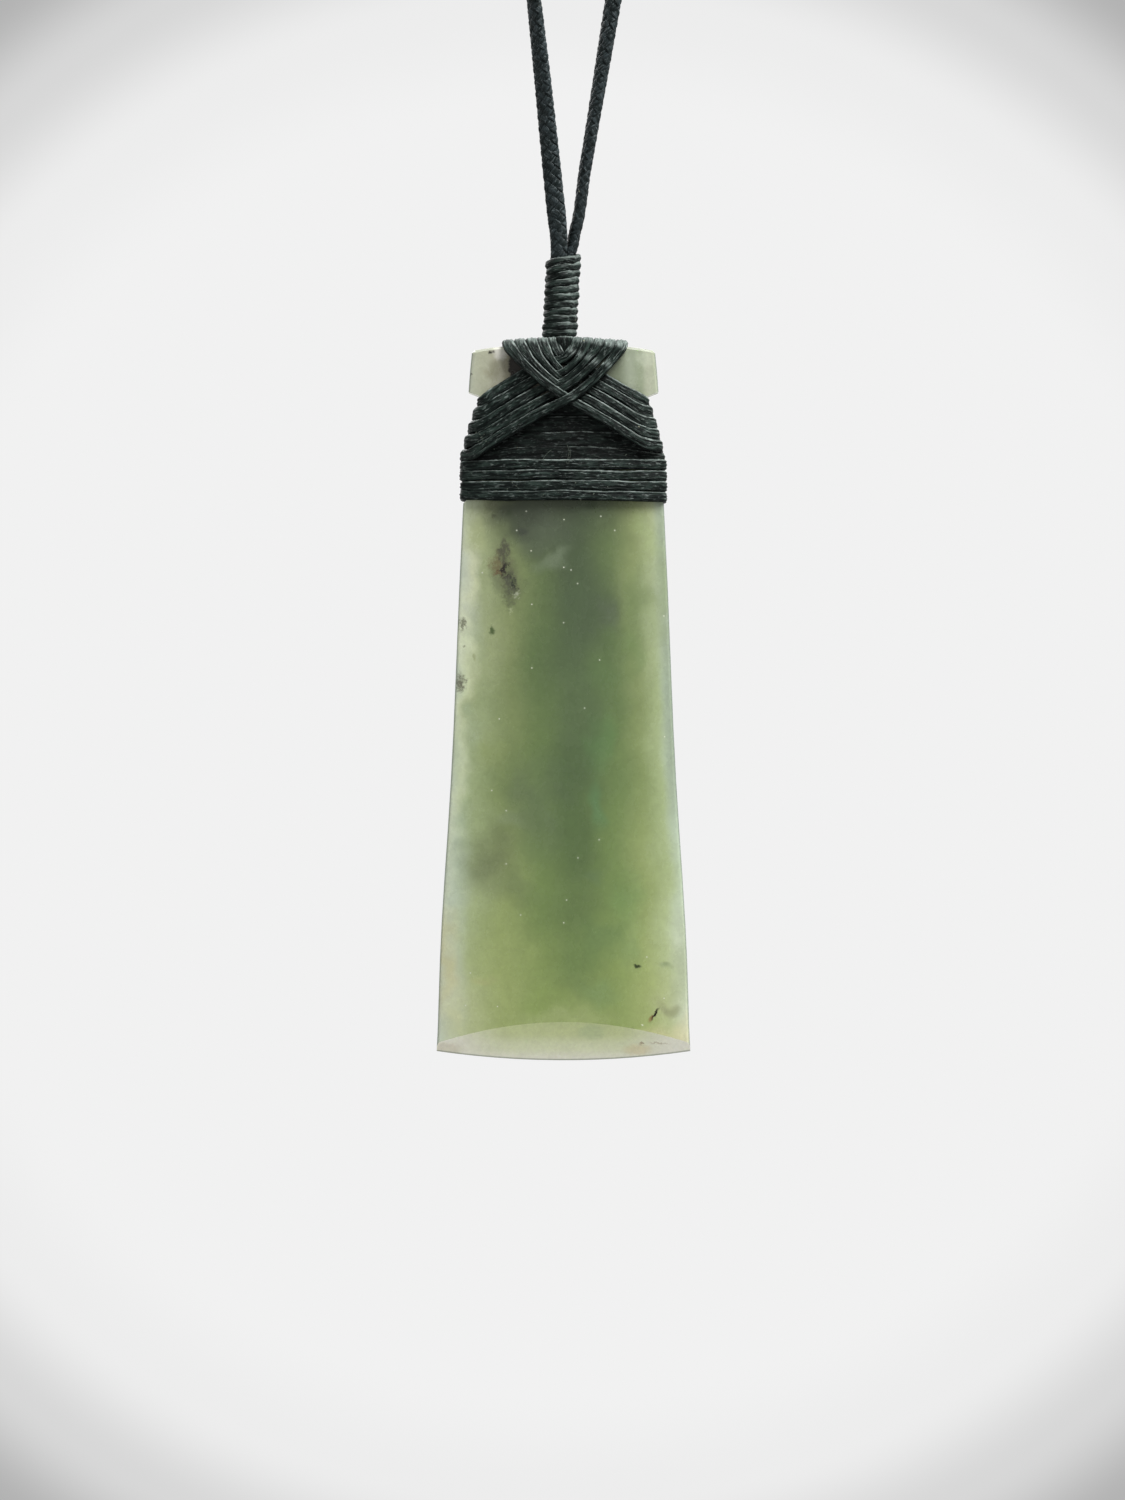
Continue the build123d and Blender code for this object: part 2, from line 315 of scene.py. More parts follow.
class Surface:
    """A surface to lay threads or lint on."""

    def __init__(self, vertices, faces):
        self.tree = BVHTree.FromPolygons(vertices, faces)

    def hit(self, start, way):
        return self.tree.ray_cast(Vector(start), Vector(way))[0]

    def front(self, x, z):
        """Y of the front face; beside the stone, that of its side edge."""
        for _ in range(60):
            hit = self.hit((x, -0.05, z), (0, 1, 0))
            if hit:
                return hit.y
            x -= 0.2 * mm * (1 if x > 0 else -1)
        return -mm

    def side(self, z):
        return self.hit((0.05, 0, z), (-1, 0, 0)).x

    def top(self, x):
        return self.hit((x, 0, crown_z + 0.01), (0, 0, -1)).z

    def away(self, point):
        """The nearest place on the stone, and the direction from there out to the point."""
        point = Vector(point)
        near, normal, _, _ = self.tree.find_nearest(point)
        out = point - near
        if out.dot(normal) <= 0 or out.length < 1e-7:
            out = normal
        return np.array(near), np.array(out.normalized())

    def ring(self, z):
        """The stone's outline at a height."""
        points = []
        for angle in np.linspace(0, 2 * pi, 720, endpoint=False):
            out = Vector((cos(angle), sin(angle), 0))
            hit = self.hit(Vector((0, 0, z)) + out * 0.05, -out)
            if hit:
                points.append(tuple(hit))
        return np.array(points)

    def laid(self, points, lift, passes):
        """A closed line pulled tight at its lift over the stone, with its outward directions."""
        for _ in range(passes):
            points = eased(points, 1, True)
            for index, point in enumerate(points):
                near, out = self.away(point)
                if np.dot(point - near, out) < lift[index]:
                    points[index] = near + out * lift[index]
        outward = np.array([self.away(point)[1] for point in points])
        return points, unit(eased(outward, 6, True))


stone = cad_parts["toki_blade"]
stone_surface = Surface([v.co for v in stone.data.vertices], [p.vertices for p in stone.data.polygons])

# Fluff caught in the lashing: points of each hair across and down (mm), and grains of dust
lint_width = 0.035 * mm
lint_hairs = [
    [(0.35, 10.2), (0.6, 10.9), (0.42, 11.5), (0.62, 12.0), (0.25, 12.2), (0.38, 11.6)],
    [(0.62, 10.4), (0.7, 11.1), (0.6, 11.7)],
    [(-2.2, 11.9), (-1.7, 11.1), (-1.2, 10.7)],
    [(-4.9, 14.2), (-4.4, 14.5), (-4.6, 14.9)],
    [(-8.5, 9.0), (-8.1, 9.4), (-8.0, 9.9)],
]
dust_grains = [
    (-8.7, 9), (-8.2, 9.5), (-7.9, 9.2), (-8.5, 9.9), (-7.7, 9.9), (-7.4, 8.4), (-5.1, 14), (-4.7, 14.3),
    (-4.5, 14.8), (-5.6, 14.6), (-6.2, 13.8), (-6.9, 10.6), (3.8, 13), (4.4, 14.4), (6.2, 11.2),
    (-2, 15.2), (3, 15.1), (1.2, 14),
]
dust_size = 0.11 * mm
lint_shade = 3.0


def lint(parts, lashing):
    """Hairs and grains of dust on the front of the lashing."""
    rng = np.random.default_rng(400)

    def resting(x, depth):
        return (x, lashing.front(x, crown_z - depth) - 0.4 * lint_width, crown_z - depth)

    for hair in lint_hairs:
        places = resampled(eased(resampled(np.array(hair) * mm, 0.1 * mm), 3), 0.12 * mm)
        points = eased(np.array([resting(x, depth) for x, depth in places]), 1)
        parts.thread((points, facing(-1, len(points))), (lint_width, lint_width), rng, 5, 0, lint_shade)
    for x, depth in dust_grains:
        reach = np.linspace(-0.5, 0.5, 4)[:, None] * dust_size * rng.uniform(-1, 1, 3)
        points = resting(x * mm, depth * mm) + reach
        parts.thread((points, facing(-1, 4)), (dust_size, dust_size), rng, 6, 0, lint_shade)


def level_turns(material):
    """The nine level turns of thread below the lugs."""
    parts = Parts()
    for index, (depth, width, rise) in enumerate(wrap_rows):
        rng = np.random.default_rng(100 + index)
        z = crown_z - depth * mm
        pressed = index >= pressed_from
        thickness = pressed_thickness if pressed else thread_thickness
        rough = resampled(stone_surface.ring(z), thread_step, True)
        half = np.abs(rough[:, 0]).max()
        front = smoothstep(0.2 * mm, -0.8 * mm, rough[:, 1])
        rough[:, 2] += rise * mm * front * (1 - (rough[:, 0] / half) ** 2)
        along = distances(rough, True)
        rough[:, 2] += 0.06 * mm * wobble(along[:-1], 16 * mm, rng, along[-1])
        rough[:, 2] += 0.08 * mm * rough[:, 0] / half * rng.uniform(-1, 1)
        spread = 0.05 * mm * wobble(along[:-1], 6 * mm, rng, along[-1])
        lift = fit_gap + thickness / 2 + 0.05 * mm + spread
        points, outward = stone_surface.laid(rough, lift, 8)
        outward[:, 2] = 0
        # The pressed turns are painted darker, as the shadow of the crossing threads over them
        parts.thread((points, unit(outward)), (width * mm, thickness), rng, lashing_around,
                     shade=pressed_painted_shadow if pressed else 1.0, closed=True)
    parts.piece("lashing_level_thread", material, "lashing_wraps")
    return parts


def front_run(hand, edge, low, middle, high):
    """A crossing thread on the front, and how far along its points and the crossing lie."""
    knee = np.array([-hand * knee_x, low[1] + (abs(low[0]) - knee_x) * leg_slope])
    bend = toward(middle, high, bend_share)
    shares = np.linspace(0, 1, 40)[1:, None]
    upper = (1 - shares) ** 2 * middle + 2 * shares * (1 - shares) * bend + shares ** 2 * high
    turn = toward(edge, low, np.linspace(0.05, 1, 6)[:-1, None])
    lower = toward(low, knee, np.linspace(0, 1, 45)[:, None])
    dip = toward(knee, middle, np.linspace(0, 1, 16)[1:, None])
    line = eased(np.vstack([turn, lower, dip, upper]), 12)
    along = distances(line)
    return line, along, along[len(turn) + len(lower) + len(dip) - 1]


def front_lift(index, hand, heights, place):
    """The lift of a crossing thread over the stone, the turns and the other thread."""
    base = fit_gap + thread_thickness / 2 + row_lift * index
    wrap_top = crown_z - wrap_top_depth
    on_wraps = smoothstep(wrap_top + 0.5 * mm, wrap_top - 0.4 * mm, heights)
    start, end = climb_places[hand]
    climb = smoothstep(start * mm, end * mm, place)
    clear = min((cross_rows[index][2] - cross_rows[0][2] + 0.7) * mm, place[-1] - 0.8 * mm)
    fall = 1 - smoothstep(clear, clear + mm, place)
    return base + (pressed_thickness + fit_gap) * on_wraps + thread_thickness * climb * fall


def crossing_loop(index, hand):
    """A thread from one side over the front, the head and the back; hand 1 rises to the right.
    With its points go its lift over the stone and its width."""
    left, right, cross_depth, cross_x, head_x, cross_width = (value * mm for value in cross_rows[index])
    flank = "left" if hand > 0 else "right"
    turn_depth, turn_x, turn_lift = (value * mm for value in side_turns[flank][index])
    low_z = crown_z - (left if hand > 0 else right)
    turn_z = crown_z - turn_depth
    drop = low_z - turn_z
    side_x = stone_surface.side(turn_z + 0.3 * mm)
    edge = np.array([-hand * side_x, low_z - edge_share * drop])
    low = np.array([-hand * (side_x - corner_x), low_z])
    middle = np.array([cross_x, crown_z - cross_depth])
    head_x = hand * head_x + head_shift
    high = np.array([head_x, stone_surface.top(head_x)])

    line, along, crossing = front_run(hand, edge, low, middle, high)
    place, end = along - crossing, along[-1]
    lift = front_lift(index, hand, line[:, 1], place)
    depth = np.array([stone_surface.front(x, z) for x, z in line])
    front = np.stack([line[:, 0], depth - lift, line[:, 1]], 1)
    edge_y = stone_surface.front(low[0], turn_z)
    side = [(-hand * turn_x, 0.0, turn_z), (-hand * turn_x, edge_y * 0.6, turn_z + drop * 0.12)]
    front_y = stone_surface.front(high[0], high[1] - 0.4 * mm)
    on_head = fit_gap + thread_thickness / 2
    head = [(high[0], front_y * share, high[1] + on_head) for share in (0.8, 0.4, 0.0)]

    lift = toward(lift, on_head, smoothstep(end - 1.2 * mm, end, along))
    lift = toward(lift, turn_lift, smoothstep(1.2 * mm, 0, along))
    width = toward(leg_width[flank], cross_width, smoothstep(-5.0 * mm, -0.5 * mm, place))
    width = toward(width, head_width, smoothstep(end - 2.2 * mm, end - 0.3 * mm, along))
    width = toward(width, side_width, smoothstep(1.6 * mm, 0.2 * mm, along))
    points = np.vstack([side, front, head])
    lift = np.concatenate([[turn_lift] * 2, lift, [on_head] * 3])
    width = np.concatenate([[side_width] * 2, width, [head_width] * 3])
    back = slice(-2, 0, -1)
    points = np.vstack([points, points[back] * np.array([1, -1, 1])])
    return points, np.append(lift, lift[back]), np.append(width, width[back])


def crossing_threads(material, turns):
    """The pairs of threads that cross on both faces, with lint on them and on the turns."""
    parts = Parts()
    for index in range(len(cross_rows)):
        corner = side_turns["left"][index][1] * mm
        for hand in (1, -1):
            rng = np.random.default_rng(200 + 2 * index + hand)
            points, lift, width = crossing_loop(index, hand)
            points, lift, width = resampled(points, thread_step, True, lift, width)
            points, outward = stone_surface.laid(points, lift, 8)
            outward[:, 2] *= smoothstep(-0.4 * mm, -1.6 * mm, np.abs(points[:, 0]) - corner)
            # Painted shade: the threads of hand -1 are darker
            parts.thread((points, unit(outward)), (width, thread_thickness), rng, lashing_around,
                         shade=leg_painted_shade[hand], closed=True)
    top = stone_surface.top(0)
    for face in (-1, 1):
        y = face * (abs(stone_surface.front(0, crown_z - mm)) + thread_thickness / 2 + fit_gap)
        heights = np.linspace(top + 0.5 * mm, top - 1.6 * mm, plug_points)
        depths = y * smoothstep(top + 2.4 * mm, top + 0.2 * mm, heights)
        points = np.stack([np.full(plug_points, 0.1 * mm), depths, heights], 1)
        line = (points, facing(face, plug_points))
        # Painted shade: the thread in the middle of the head is darker
        parts.thread(line, (plug_width, thread_thickness), rng, 20, shade=plug_painted_shade)
    faces = turns.faces + [[turns.count + corner for corner in face] for face in parts.faces]
    lint(parts, Surface(turns.vertices + parts.vertices, faces))
    parts.piece("lashing_crossed_thread", material, "lashing_cross")


def wound(start, axes, length, turns, half_width, half_depth, rng, step):
    """A thread wound round a flattened core; axes run along, across and through the core."""
    along_axis, side_axis, depth_axis = axes
    straight = 2 * max(half_width - half_depth, 0)
    bend = pi * half_depth
    girth = 2 * bend + 2 * straight
    travel = np.linspace(-girth / 2, turns * girth, int(turns * girth / step))
    place = travel % girth
    turned = np.clip(place - straight, 0, bend) + np.clip(place - 2 * straight - bend, 0, bend)
    nx, ny = -np.sin(turned / half_depth), -np.cos(turned / half_depth)
    slid = np.clip(place - straight - bend, 0, straight) - np.clip(place, 0, straight)
    x, y = straight / 2 + slid + half_depth * nx, half_depth * ny
    out = nx[:, None] * side_axis + ny[:, None] * depth_axis
    swell = 1 + 0.05 * wobble(travel, 5 * mm, rng)
    down = (np.clip(travel, 0, None) / (turns * girth))[:, None] * length
    points = start + (x * swell)[:, None] * side_axis + (y * swell)[:, None] * depth_axis
    return points + down * along_axis, unit(eased(out, 4))


def whipping(material):
    """The thread wound round the two strands of the cord."""
    rng = np.random.default_rng(300)
    half_depth = cord_diameter / 2 + fit_gap + whip_thread / 2
    half_width = half_depth + (cord_diameter + strand_gap) / 2
    pitch = whip_length / whip_turns
    length = whip_top_z - whip_end_z
    c, s = cos(strand_turn), sin(strand_turn)
    axes = unit(np.array([[-whip_lean, 0, -whip_length], [c, s, 0], [-s, c, 0]]))
    start = np.array([0.0, 0.0, whip_top_z - pitch * 0.45])
    points, outward = wound(start, axes, length - pitch * 0.9, length / pitch - 0.15,
                            half_width, half_depth, rng, whip_step)
    along = distances(points)
    share = along / along[-1]
    inward = smoothstep(1.6 * mm, 0, along) + smoothstep(along[-1] - 1.6 * mm, along[-1], along)
    points -= outward * (inward * 0.35 * mm)[:, None]
    points += outward * (0.07 * mm * wobble(along, 3.1 * mm, rng))[:, None]
    points[:, 2] += 0.07 * mm * wobble(along, 4.7 * mm, rng)
    points[:, 2] += (0.2 - 0.26 * share) * (points[:, 0] - start[0]) * smoothstep(0.0, 0.02, share)
    width = pitch * (1.02 + 0.12 * wobble(along, 5.3 * mm, rng))
    parts = Parts()
    # Painted shade: the whipping's thread is darker
    parts.thread((points, outward), (width, whip_thread), rng, 20, 2, whip_painted_shade, groove=0.03 * mm)
    parts.piece("cord_whipping_thread", material, "cord_whipping")


def nape_binding(material):
    """The thread wound round the join at the nape."""
    rng = np.random.default_rng(310)
    low, high = np.array(sleeve_low), np.array(sleeve_high)
    length = high[0] - low[0]
    thread = 0.55 * mm
    radius = (high[2] - low[2]) / 2 - thread / 2
    pitch = 0.76 * mm
    turns = int(length / pitch)
    start = np.array([low[0] + pitch / 2, 0.0, (low[2] + high[2]) / 2])
    points, outward = wound(start, np.eye(3), length - pitch, turns, radius, radius, rng, 0.2 * mm)
    parts = Parts()
    parts.thread((points, outward), (pitch * 1.04, thread), rng, 10, 2)
    parts.piece("nape_binding_thread", material, "nape_sleeve")


def route_line(name, points):
    """Points along the smooth line of a route, read from its NURBS curve."""
    curve = bpy.data.curves.new(name, "CURVE")
    curve.dimensions = "3D"
    curve.resolution_u = 64
    spline = curve.splines.new("NURBS")
    spline.points.add(len(points) - 1)
    for point, place in zip(spline.points, points):
        point.co = (*place, 1)
    spline.order_u = 3
    spline.use_endpoint_u = True
    holder = added(name, curve)
    bpy.context.view_layer.update()
    mesh = bpy.data.meshes.new_from_object(holder)
    line = np.array([v.co for v in mesh.vertices], float)
    bpy.data.objects.remove(holder)
    bpy.data.meshes.remove(mesh)
    return line


def cord_points(side, route):
    """The route of half of the cord, side -1 left or 1 right."""
    reach = (cord_diameter + strand_gap) / 2
    shift_x, shift_y = reach * cos(strand_turn), reach * sin(strand_turn)
    end_z = whip_bottom_z + cord_end_rise
    start_z = whip_top_z + cord_start_rise

    def in_whipping(z):
        lean = whip_lean * (z - whip_top_z) / whip_length
        return (lean + side * shift_x, side * shift_y, z)

    outside = [tuple(value * mm for value in point) for point in route]
    nape = [(side * nape_x, 0, nape_z), (side * half_gap, 0, nape_z)]
    return [in_whipping(end_z), in_whipping(start_z), *outside, *nape]


def plait(name, line, first_turn, turn_rate, material, node):
    """Half of the neck cord: a tight flat plait, slowly turning on itself."""
    along = distances(line)
    near_end = np.interp(near_top_z, line[:, 2], along) if line[0, 2] < near_top_z else 0
    near = np.arange(0, near_end, near_step)
    far = np.linspace(near_end, along[-1], int((along[-1] - near_end) / far_step))
    places = np.concatenate([near, far])
    points = eased(read_at(places, along, line), 6)
    over_whipping = (points[:, 2] - whip_top_z) / mm
    spread = smoothstep(*spread_heights, over_whipping) * smoothstep(*close_heights, over_whipping)
    points[:, 0] += mouth_spread * spread * (points[-1, 0] > 0)
    ahead = unit(np.gradient(points, axis=0))
    beside = unit(np.cross(ahead, np.array([0, 1.0, 0])))
    behind = np.cross(beside, ahead)
    turn = (first_turn + turn_rate * places)[:, None]
    wide = beside * np.cos(turn) + behind * np.sin(turn)
    deep = behind * np.cos(turn) - beside * np.sin(turn)
    inset = plait_thickness / 2 + plait_rise / 2
    open_share = smoothstep(*mouth_heights, over_whipping)[:, None]
    half_width = toward(mouth_half_width, plait_half_width, open_share) - inset
    half_depth = plait_half_depth - inset
    parts = Parts()
    rng = np.random.default_rng(len(name))
    for hand in (1, -1):
        for index in range(plait_strands):
            angle = hand * 2 * pi * places / plait_pitch + 2 * pi * index / plait_strands
            angle = (angle + 0.1 * wobble(places, 11 * mm, rng))[:, None]
            c, s = np.cos(angle), np.sin(angle)
            out = unit(wide * c / half_width + deep * s / half_depth)
            rise = plait_rise * hand * np.cos(plait_strands * angle)
            strand = points + wide * c * half_width + deep * s * half_depth + out * rise
            parts.thread((strand, out), (plait_width, plait_thickness), rng, 10, 0)
    core = np.linspace(0, 2 * pi, 8, endpoint=False)
    rings = (points[:, None] + wide[:, None] * (core_share * half_width * np.cos(core))[..., None]
             + deep[:, None] * (core_share * half_depth * np.sin(core))[None, :, None])
    parts.tube(rings[::6])
    parts.piece(name, material, node)


def linear(*colour):
    """A colour of display steps, 0 to 255, as the shader takes it."""
    steps = (value / 255 for value in colour)
    return (*[s / 12.92 if s <= 0.04045 else ((s + 0.055) / 1.055) ** 2.4 for s in steps], 1.0)


class Shader:
    """A material's nodes, with short calls for those that it needs."""

    def __init__(self, name, **sockets):
        self.material = bpy.data.materials.new(name)
        self.material.use_nodes = True
        self.tree = self.material.node_tree
        self.tree.nodes.clear()
        self.output = self.tree.nodes.new("ShaderNodeOutputMaterial")
        self.output.name = "Material Output"
        if sockets:
            self.surface = self.node("BsdfPrincipled")
            self.feed(self.output.inputs["Surface"], self.surface.outputs[0])
            self.set(**sockets)

    def feed(self, socket, value):
        if isinstance(value, bpy.types.NodeSocket):
            self.tree.links.new(value, socket)
        else:
            socket.default_value = value

    def set(self, **sockets):
        for name, value in sockets.items():
            self.feed(self.surface.inputs[name.replace("_", " ")], value)

    def node(self, kind, *values, **settings):
        """A node with its inputs in order, None for one left as it is, and its settings."""
        made = self.tree.nodes.new("ShaderNode" + kind)
        for name, value in settings.items():
            setattr(made, name, value)
        for socket, value in zip(made.inputs, values):
            if value is not None:
                self.feed(socket, value)
        return made

    def math(self, operation, *values):
        return self.node("Math", *values, operation=operation).outputs[0]

    def times(self, first, second):
        return self.math("MULTIPLY", first, second)

    def vector(self, operation, *values):
        return self.node("VectorMath", *values, operation=operation).outputs[0]

    def scaled(self, vector, scale):
        return self.vector("SCALE", vector, None, None, scale)

    def share(self, value, low, high, to_low=0, to_high=1):
        """value from low to high, brought smoothly to the range from to_low to to_high."""
        made = self.node("MapRange", value, low, high, to_low, to_high, interpolation_type="SMOOTHSTEP")
        return made.outputs[0]

    def mix(self, factor, first, second):
        return self.node("Mix", factor, *[None] * 5, first, second, data_type="RGBA").outputs[2]

    def tint(self, tone, factor, *colour):
        """The tone brought to a colour of display steps."""
        return self.mix(factor, tone, linear(*colour))

    def noise(self, vector, scale, detail, roughness, output="Fac"):
        return self.node("TexNoise", vector, None, scale, detail, roughness).outputs[output]

    def blown(self, vector, place, scale, detail, roughness, reach):
        """A flat field moved about by noise, for ragged edges."""
        drift = self.vector("SUBTRACT", self.noise(place, scale, detail, roughness, "Color"), (0.5, 0.5, 0.5))
        return self.vector("ADD", vector, self.vector("MULTIPLY", drift, (reach, reach, 0)))

    def ramp(self, value, stops):
        """A colour read from stops, each a place and a colour."""
        made = self.node("ValToRGB", value)
        ramp = made.color_ramp
        ramp.interpolation = "EASE"
        ramp.elements.remove(ramp.elements[-1])
        ramp.elements[0].position, ramp.elements[0].color = stops[0]
        for place, colour in stops[1:]:
            ramp.elements.new(place).color = colour
        return made.outputs[0]

    def tones(self, value, stops):
        """A colour read from stops, each a place and a colour of display steps."""
        return self.ramp(value, [(place, linear(*colour)) for place, *colour in stops])

    def mapped(self, vector, shift, turn, scale, kind="POINT"):
        return self.node("Mapping", vector, shift, (0, 0, radians(turn)), scale, vector_type=kind).outputs[0]

    def specks(self, vector, scale, size, share):
        """Small dots, one in some of the cells of a flat field of cells."""
        made = self.node("TexVoronoi", vector, None, scale, voronoi_dimensions="2D")
        chance = self.node("SeparateColor", made.outputs["Color"]).outputs[0]
        dot = self.share(made.outputs["Distance"], size, size * 0.6)
        return self.times(dot, self.math("LESS_THAN", chance, share))

    def patches(self, tone, vector, rows, solid=0.35):
        """The tone with a soft-edged spot for each row, strongest within the solid share of it."""
        for across, down, reach_across, reach_down, turn, strength, *colour in rows:
            spot = self.mapped(vector, (across, down, 0), turn, (reach_across, reach_down, 1), "TEXTURE")
            near = self.node("TexGradient", spot, gradient_type="SPHERICAL").outputs["Fac"]
            tone = self.tint(tone, self.share(near, 0, 1 - solid, 0, strength), *colour)
        return tone

    def bump(self, height, distance, strength):
        self.set(Normal=self.node("Bump", strength, distance, None, height).outputs[0])


def thread_material(name, dark, light, glint, ridge_highlight_share, roughness, speck_share, relief):
    """Waxed thread: fine fibres in slightly slanted bundles, with a few specks of dust, and painted light:
    glints, highlights where it faces up and out and along its ridges, and shade where it dips and, set per
    tube, over whole threads.
    """
    mat = Shader(name, Roughness=roughness, Specular_IOR_Level=0.1)
    dark, light, glint = (linear(*colour) for colour in (dark, light, glint))
    where = mat.node("UVMap", uv_map="fibre").outputs[0]

    def fibres(shift, turn, scale, uneven, detail=3):
        return mat.noise(mat.mapped(where, (*shift, 0), turn, (*scale, 1)), 1, detail, uneven)

    coarse = fibres((0, 0), 7, (0.45, 3.4), 0.6)
    fine = fibres((7, 2), 16, (1.1, 6.5), 0.65)
    broken = fibres((3, 1), 8, (1.1, 2), 0.6)
    hairs = fibres((5, 8), 14, (1.5, 9), 0.65)
    run = fibres((11, 5), 2, (1.5, 1.8), 0.7, 4)
    tone = mat.mix(mat.share(coarse, 0.42, 0.64), dark, light)
    tone = mat.tint(tone, mat.share(fine, 0.5, 0.38, 0, 0.8 * relief), 4, 9, 7)
    # Painted glints: sparse bright streaks along the fibres
    painted_glints = mat.times(mat.share(hairs, 0.53, 0.64), mat.share(broken, 0.4, 0.58))
    tone = mat.mix(mat.times(painted_glints, 0.3), tone, glint)

    # Painted light where it faces up and out, painted shade where it dips, painted highlights along its
    # ridges
    crest = mat.node("Attribute", attribute_name="crest").outputs["Fac"]
    shade = mat.node("Attribute", attribute_name="shade").outputs["Fac"]
    lie = mat.node("TexCoord").outputs["Normal"]
    upward = mat.node("VectorMath", lie, (0.45, 0, 0.89), operation="DOT_PRODUCT").outputs["Value"]
    painted_top_light = mat.times(mat.share(upward, 0.34, 0.86), mat.share(crest, 0.35, 0.75))
    tone = mat.mix(mat.times(painted_top_light, mat.share(hairs, 0.36, 0.58, 0.14, 0.58)), tone, glint)
    # Painted shade where the thread dips
    tone = mat.tint(tone, mat.share(crest, 0.82, 0.14, 0, 0.92 * relief), 2, 4, 4)
    # Painted highlights: thin pale lines along the upper ridges
    painted_ridge_highlight = mat.times(mat.share(crest, 0.24, 0.36), mat.share(crest, 0.72, 0.54))
    painted_ridge_highlight = mat.times(painted_ridge_highlight, mat.share(upward, 0.25, 0.55))
    painted_ridge_highlight = mat.times(painted_ridge_highlight, mat.share(run, 0.42, 0.6, 0.08 * ridge_highlight_share, ridge_highlight_share))
    # Painted shade set per tube scales the colour, and more gently the ridge highlights
    tone = mat.mix(mat.times(painted_ridge_highlight, mat.math("SQRT", shade)), mat.scaled(tone, shade), glint)

    # Lint, which is what is shaded over 2, and specks
    tone = mat.tint(tone, mat.math("GREATER_THAN", shade, 2), 86, 94, 84)
    tone = mat.tint(tone, mat.specks(where, 0.55, 0.055, speck_share), 118, 120, 102)
    mat.set(Base_Color=tone, Roughness=mat.share(broken, 0.3, 0.7, roughness + 0.12, roughness - 0.1))
    mat.bump(mat.math("ADD", mat.times(hairs, 0.8), mat.times(coarse, 0.9)), 0.16 * mm, relief)
    return mat.material


# The stone's colour down its middle: share of its length, red, green, blue
jade_middle = [
    (0.2, 64, 74, 56), (0.27, 73, 85, 62), (0.36, 78, 93, 66), (0.5, 86, 103, 70), (0.58, 82, 100, 66),
    (0.67, 86, 105, 66), (0.76, 98, 117, 72), (0.85, 108, 128, 77), (0.94, 136, 152, 93),
]

# Its colours outside that: share of the half width where they start and are full, and their stops
# Outwards they grow paler: partly the stone's own tone, partly painted light through the thinner stone
jade_zones = [
    (0.05, 0.36, [
        (0.2, 80, 90, 65), (0.33, 93, 109, 71), (0.44, 93, 111, 71), (0.58, 101, 120, 74),
        (0.74, 110, 130, 78), (0.86, 127, 145, 86), (0.96, 136, 152, 92),
    ]),
    (0.3, 0.64, [
        (0.2, 118, 127, 88), (0.33, 127, 139, 94), (0.46, 122, 135, 90), (0.6, 124, 139, 90),
        (0.75, 138, 152, 98), (0.9, 152, 165, 106),
    ]),
    (0.56, 0.88, [
        (0.2, 160, 168, 130), (0.35, 156, 166, 127), (0.5, 152, 165, 123), (0.66, 155, 169, 125),
        (0.8, 165, 178, 133), (0.94, 174, 183, 137),
    ]),
    (0.8, 1.02, [
        (0.2, 184, 193, 174), (0.36, 184, 191, 173), (0.5, 172, 188, 164), (0.72, 181, 195, 173),
        (0.92, 192, 200, 175),
    ]),
]

# The lugs' colours: place across in cm, red, green, blue
left_lug = [(0.54, 140, 138, 120), (0.66, 162, 161, 142), (0.8, 170, 172, 150), (0.94, 174, 178, 158)]
right_lug = [
    (0.54, 116, 124, 103), (0.66, 147, 155, 135), (0.77, 140, 149, 125), (0.84, 163, 168, 147),
    (0.94, 162, 168, 146),
]

# The bevel's colours, downwards from its top: its own tint, made paler with painted light for its thin,
# lit-through edge and for the light it misses facing down
bevel_top, bevel_reach = 66, 6
bevel_tint_and_painted_light = [(0.2, 202, 214, 154), (0.45, 214, 224, 166), (0.7, 234, 240, 200), (0.92, 250, 250, 230)]

